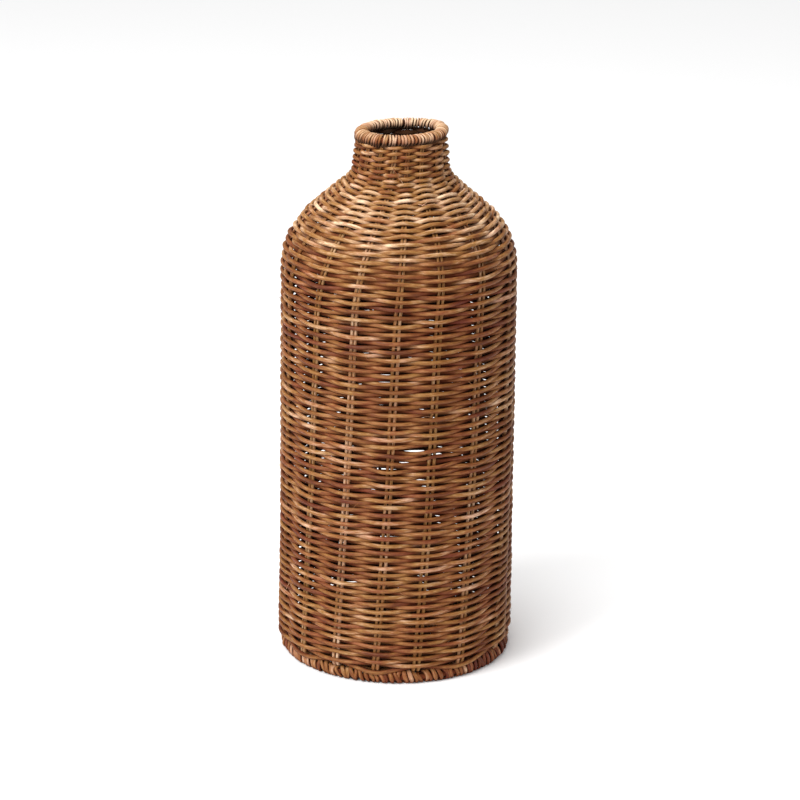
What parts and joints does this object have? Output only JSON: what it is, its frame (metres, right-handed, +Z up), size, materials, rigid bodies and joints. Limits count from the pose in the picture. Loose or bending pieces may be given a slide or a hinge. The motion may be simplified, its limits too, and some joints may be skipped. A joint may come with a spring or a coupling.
{
  "type": "rattan vase",
  "caption": "Tall cylindrical vase hand-woven from rattan, with rounded shoulders, a short narrow neck, a lashed rim ring and a lashed foot ring.",
  "frame": {"origin": "centre of the foot ring on the surface that the vase stands on", "axes": "+Z up along the vase, -Y towards the viewer, +X to the viewer's right"},
  "size_m": [0.2008, 0.2013, 0.4583],
  "materials": {
    "stake_rod": "satin",
    "weaver_strand": "satin",
    "base_strand": "satin",
    "hoop_rod": "satin",
    "lashing_strip": "satin"
  },
  "bodies": {
    "root": {"stake_01_left": "stake_rod", "stake_01_right": "stake_rod", "stake_02_left": "stake_rod", "stake_02_right": "stake_rod", "stake_03_left": "stake_rod", "stake_03_right": "stake_rod", "stake_04_left": "stake_rod", "stake_04_right": "stake_rod", "stake_05_left": "stake_rod", "stake_05_right": "stake_rod", "stake_06_left": "stake_rod", "stake_06_right": "stake_rod", "stake_07_left": "stake_rod", "stake_07_right": "stake_rod", "stake_08_left": "stake_rod", "stake_08_right": "stake_rod", "stake_09_left": "stake_rod", "stake_09_right": "stake_rod", "stake_10_left": "stake_rod", "stake_10_right": "stake_rod", "stake_11_left": "stake_rod", "stake_11_right": "stake_rod", "stake_12_left": "stake_rod", "stake_12_right": "stake_rod", "stake_13_left": "stake_rod", "stake_13_right": "stake_rod", "stake_14_left": "stake_rod", "stake_14_right": "stake_rod", "stake_15_left": "stake_rod", "stake_15_right": "stake_rod", "body_weaver_01": "weaver_strand", "body_weaver_02": "weaver_strand", "body_weaver_03": "weaver_strand", "body_weaver_04": "weaver_strand", "body_weaver_05": "weaver_strand", "body_weaver_06": "weaver_strand", "body_weaver_07": "weaver_strand", "body_weaver_08": "weaver_strand", "body_weaver_09": "weaver_strand", "body_weaver_10": "weaver_strand", "body_weaver_11": "weaver_strand", "body_weaver_12": "weaver_strand", "body_weaver_13": "weaver_strand", "body_weaver_14": "weaver_strand", "shoulder_weaver_01": "weaver_strand", "shoulder_weaver_02": "weaver_strand", "shoulder_weaver_03": "weaver_strand", "shoulder_weaver_04": "weaver_strand", "neck_weaver_01": "weaver_strand", "base_eye_coil": "base_strand", "base_weaver": "base_strand", "foot_hoop": "hoop_rod", "foot_lashing": "lashing_strip", "rim_hoop": "hoop_rod", "rim_lashing": "lashing_strip"}
  },
  "joints": []
}
